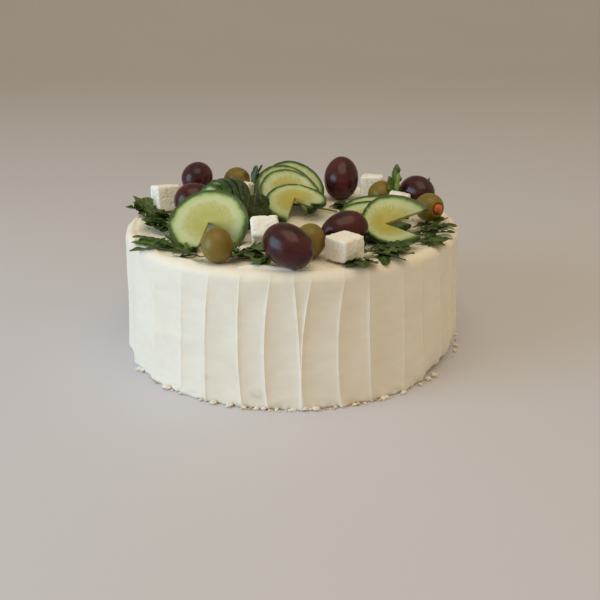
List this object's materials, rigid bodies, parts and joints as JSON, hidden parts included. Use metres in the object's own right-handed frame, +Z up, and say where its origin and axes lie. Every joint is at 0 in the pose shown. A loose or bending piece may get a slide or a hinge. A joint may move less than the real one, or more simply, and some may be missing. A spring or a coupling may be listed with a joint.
{
  "type": "sandwich cake",
  "caption": "Round savoury cake with spatula-stroked cream frosting, topped with cucumber slices, dark grapes, stuffed olives, white cheese cubes and rocket leaves.",
  "frame": {"origin": "centre of the cake's base, on the surface it stands on", "axes": "+Z up, -Y toward the front of the cake, +X to the right seen from the front"},
  "size_m": [0.2253, 0.2256, 0.1151],
  "materials": {
    "frosting": "cream-cheese frosting spread with a spatula, satin and slightly uneven",
    "cucumber": "moist pale green flesh with dark green skin at the edge",
    "grape": "dark red skin with a light bloom",
    "olive": "olive green, oily sheen",
    "filling": "moist red pepper",
    "cheese": "crumbly white brined cheese",
    "rocket": "dark green leaf, slightly waxy"
  },
  "bodies": {
    "root": {"cake_body": "frosting", "cheese_1": "cheese", "cheese_2": "cheese", "cheese_3": "cheese", "cheese_4": "cheese", "cheese_5": "cheese", "cheese_6": "cheese", "cucumber_back_1": "cucumber", "cucumber_back_2": "cucumber", "cucumber_back_3": "cucumber", "cucumber_back_4": "cucumber", "cucumber_left_1": "cucumber", "cucumber_left_2": "cucumber", "cucumber_left_3": "cucumber", "cucumber_left_4": "cucumber", "cucumber_left_5": "cucumber", "cucumber_left_6": "cucumber", "cucumber_right_1": "cucumber", "cucumber_right_2": "cucumber", "cucumber_right_3": "cucumber", "grape_1": "grape", "grape_2": "grape", "grape_3": "grape", "grape_4": "grape", "grape_5": "grape", "grape_6": "grape", "olive_1": "olive", "olive_2": "olive", "olive_3": "olive", "olive_3_filling": "filling", "olive_4": "olive", "olive_5": "olive", "olive_5_filling": "filling", "rocket_1": "rocket", "rocket_10": "rocket", "rocket_11": "rocket", "rocket_12": "rocket", "rocket_13": "rocket", "rocket_14": "rocket", "rocket_15": "rocket", "rocket_16": "rocket", "rocket_17": "rocket", "rocket_18": "rocket", "rocket_2": "rocket", "rocket_3": "rocket", "rocket_4": "rocket", "rocket_5": "rocket", "rocket_6": "rocket", "rocket_7": "rocket", "rocket_8": "rocket", "rocket_9": "rocket", "stem_1": "rocket"}
  },
  "joints": []
}
